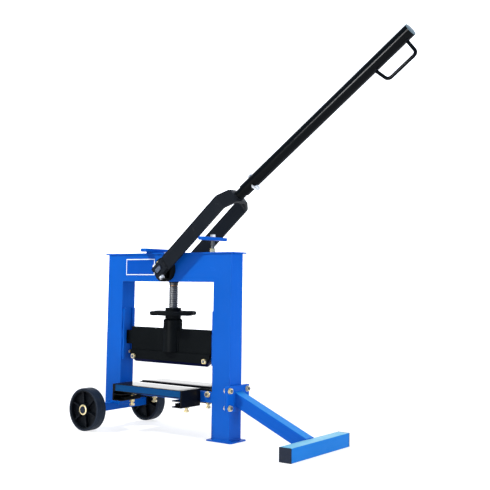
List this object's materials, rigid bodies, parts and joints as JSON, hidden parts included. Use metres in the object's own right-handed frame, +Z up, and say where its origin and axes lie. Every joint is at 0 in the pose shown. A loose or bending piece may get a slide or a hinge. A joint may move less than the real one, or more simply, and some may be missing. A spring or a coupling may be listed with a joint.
{
  "type": "block splitter",
  "caption": "Manual paving-stone splitter: blue portal frame on wheels and an outrigger, forked eccentric lever, handwheel-set upper blade, sprung tables",
  "frame": {"origin": "centre of the right post's base plate, on the floor", "axes": "+X from the wheels to the outrigger foot, +Y from the front table to the rear table, +Z up"},
  "size_m": [1.0159, 0.277, 1.0278],
  "materials": {
    "blue_paint": "semi-gloss powder coat",
    "black_paint": "gloss powder coat",
    "zinc": "yellow zinc plate",
    "bare_steel": "turned and oiled",
    "teal_strip": "satin paint",
    "rubber": "matt",
    "plastic": "moulded satin"
  },
  "bodies": {
    "frame": {"left_post": "blue_paint", "right_post": "blue_paint", "top_beam": "blue_paint", "cap_strip": "blue_paint", "base_plate": "blue_paint", "lower_beam": "blue_paint", "left_guide": "blue_paint", "right_guide": "blue_paint", "axle_bar_blue": "blue_paint", "axle_stubs": "bare_steel", "axle_rings": "zinc", "front_bearing": "black_paint", "rear_bearing": "black_paint", "bearing_screws": "zinc", "spindle_bush": "black_paint", "back_rest": "blue_paint", "rest_bar": "blue_paint", "rest_bolt": "zinc", "lower_blade": "black_paint", "lower_blade_bolts": "zinc", "blade_jacks": "zinc", "table_arms": "black_paint", "bracket_plate": "blue_paint", "outrigger_flange": "blue_paint", "outrigger_arm": "blue_paint", "outrigger_foot": "blue_paint", "foot_plugs": "plastic", "outrigger_bolts": "zinc", "front_table_springs": "bare_steel", "rear_table_springs": "bare_steel"},
    "lever": {"eccentric_shaft": "bare_steel", "lever_fork": "black_paint", "pinch_bolts": "zinc", "lever_spigot": "black_paint", "lever_handle": "black_paint", "handle_plug": "plastic", "handle_bolt": "zinc", "grip_loop": "black_paint"},
    "spindle": {"spindle": "bare_steel"},
    "carrier": {"carrier_plate": "black_paint", "carrier_sleeve": "black_paint", "sleeve_screws": "bare_steel", "front_cheek": "black_paint", "rear_cheek": "black_paint", "upper_blade": "black_paint", "blade_bolts": "zinc", "side_screws": "zinc"},
    "handwheel": {"handwheel": "black_paint"},
    "front_table": {"front_table": "black_paint", "front_table_strip": "teal_strip", "front_table_bolts": "zinc"},
    "rear_table": {"rear_table": "black_paint", "rear_table_strip": "teal_strip", "rear_table_bolts": "zinc"},
    "front_wheel": {"front_tyre": "rubber", "front_wheel": "plastic"},
    "rear_wheel": {"rear_tyre": "rubber", "rear_wheel": "plastic"}
  },
  "joints": [
    {"name": "lever_swing", "type": "hinge", "parent": "frame", "child": "lever", "pos_m": [-0.2, 0, 0.448], "axis": [0, -1, 0], "range_deg": [0, 77.5]},
    {"name": "spindle_stroke", "type": "slide", "parent": "frame", "child": "spindle", "axis": [0, 0, 1], "range_m": [0, 0.00752]},
    {"name": "carrier_height", "type": "slide", "parent": "spindle", "child": "carrier", "axis": [0, 0, 1], "range_m": [-0.038, 0.058]},
    {"name": "handwheel_turn", "type": "hinge", "parent": "carrier", "child": "handwheel", "pos_m": [-0.19466, 0, 0.327], "axis": [0, 0, 1], "range_deg": [-2740, 4180]},
    {"name": "front_table_sink", "type": "slide", "parent": "frame", "child": "front_table", "axis": [0, 0, 1], "range_m": [-0.006, 0], "stiffness_N_per_m": 9000, "springref_m": 0.012, "deforming": ["front_table_springs"]},
    {"name": "rear_table_sink", "type": "slide", "parent": "frame", "child": "rear_table", "axis": [0, 0, 1], "range_m": [-0.006, 0], "stiffness_N_per_m": 9000, "springref_m": 0.012, "deforming": ["rear_table_springs"]},
    {"name": "front_wheel_spin", "type": "hinge", "parent": "frame", "child": "front_wheel", "pos_m": [-0.4, -0.119, 0.0585], "axis": [0, 1, 0], "continuous": true},
    {"name": "rear_wheel_spin", "type": "hinge", "parent": "frame", "child": "rear_wheel", "pos_m": [-0.4, 0.119, 0.0585], "axis": [0, 1, 0], "continuous": true}
  ],
  "couplings": [
    {"joint": "spindle_stroke", "follows": "lever_swing", "m_per_rad": 0.005553},
    {"joint": "handwheel_turn", "follows": "carrier_height", "rad_per_m": 1256.6}
  ]
}
